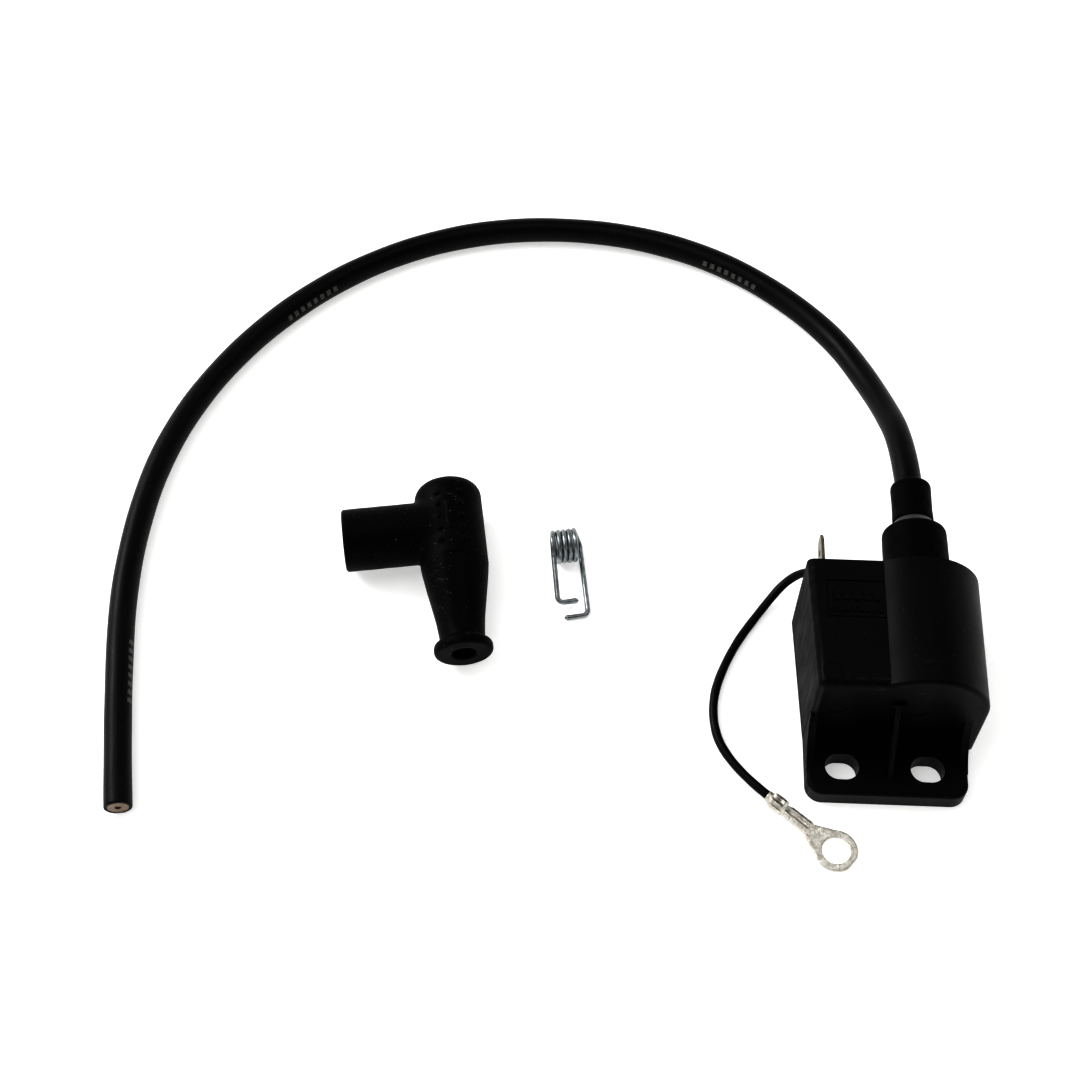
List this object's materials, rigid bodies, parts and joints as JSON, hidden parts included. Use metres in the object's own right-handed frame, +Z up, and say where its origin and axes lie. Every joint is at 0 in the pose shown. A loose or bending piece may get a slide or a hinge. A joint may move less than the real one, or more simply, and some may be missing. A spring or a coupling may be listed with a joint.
{
  "type": "ignition coil",
  "caption": "Potted ignition coil with a slotted mounting flange, high-tension lead, ground lead with ring terminal, spade terminal, and a loose right-angle plug boot and spring terminal.",
  "frame": {"origin": "midway between the two mounting slots, on the mounting face", "axes": "+X along the line of the two slots, +Y towards the high-tension tower, +Z up from the mounting face"},
  "size_m": [0.2211, 0.1983, 0.0357],
  "materials": {
    "housing_pbt": "moulded black PBT with a fine grain",
    "potting_resin": "black casting resin, self-levelled",
    "tower_pbt": "moulded black PBT, smooth",
    "black_rubber": "matte black moulded rubber",
    "plug_rubber": "matte black EPDM with talc bloom",
    "lead_jacket": "extruded black rubber jacket",
    "lead_insulation": "tan cross-linked insulation",
    "stranded_copper": "dull stranded copper",
    "wire_pvc": "black PVC wire insulation",
    "tinned_strands": "tinned copper strands",
    "tinned_brass": "tin-plated brass, satin",
    "zinc_wire": "bright zinc-plated spring wire",
    "spike_brass": "turned brass",
    "core_steel": "silicon steel sheet",
    "bobbin_nylon": "natural glass-filled nylon",
    "copper_wire": "enamelled copper wire",
    "fine_copper": "fine enamelled copper wire",
    "board_laminate": "green solder-masked laminate",
    "capacitor_case": "red film-capacitor case",
    "package_epoxy": "black epoxy package",
    "resistor_body": "tan resistor lacquer"
  },
  "bodies": {
    "coil": {"housing": "housing_pbt", "potting_resin": "potting_resin", "ht_tower": "tower_pbt", "tower_boot": "black_rubber", "lead_sleeve": "black_rubber", "ht_contact_spike": "spike_brass", "core_sheets": "core_steel", "primary_bobbin": "bobbin_nylon", "primary_winding": "copper_wire", "secondary_bobbin": "bobbin_nylon", "secondary_winding": "fine_copper", "winding_end_cap": "bobbin_nylon", "circuit_board": "board_laminate", "storage_capacitor": "capacitor_case", "thyristor": "package_epoxy", "rectifier_diodes": "package_epoxy", "gate_resistors": "resistor_body", "jumper_wires": "tinned_strands", "spade_terminal": "tinned_brass", "ht_lead_jacket": "lead_jacket", "ht_lead_insulation": "lead_insulation", "ht_lead_conductor": "stranded_copper", "ground_lead_insulation": "wire_pvc", "ground_lead_strands": "tinned_strands", "ring_terminal": "tinned_brass"},
    "plug_boot": {"plug_boot": "plug_rubber"},
    "spring_terminal": {"plug_spring_terminal": "zinc_wire"}
  },
  "joints": [
    {"name": "plug_boot_lift", "type": "slide", "parent": "coil", "child": "plug_boot", "axis": [0, 0, 1], "range_m": [0, 0.06]},
    {"name": "spring_terminal_lift", "type": "slide", "parent": "coil", "child": "spring_terminal", "axis": [0, 0, 1], "range_m": [0, 0.06]}
  ]
}
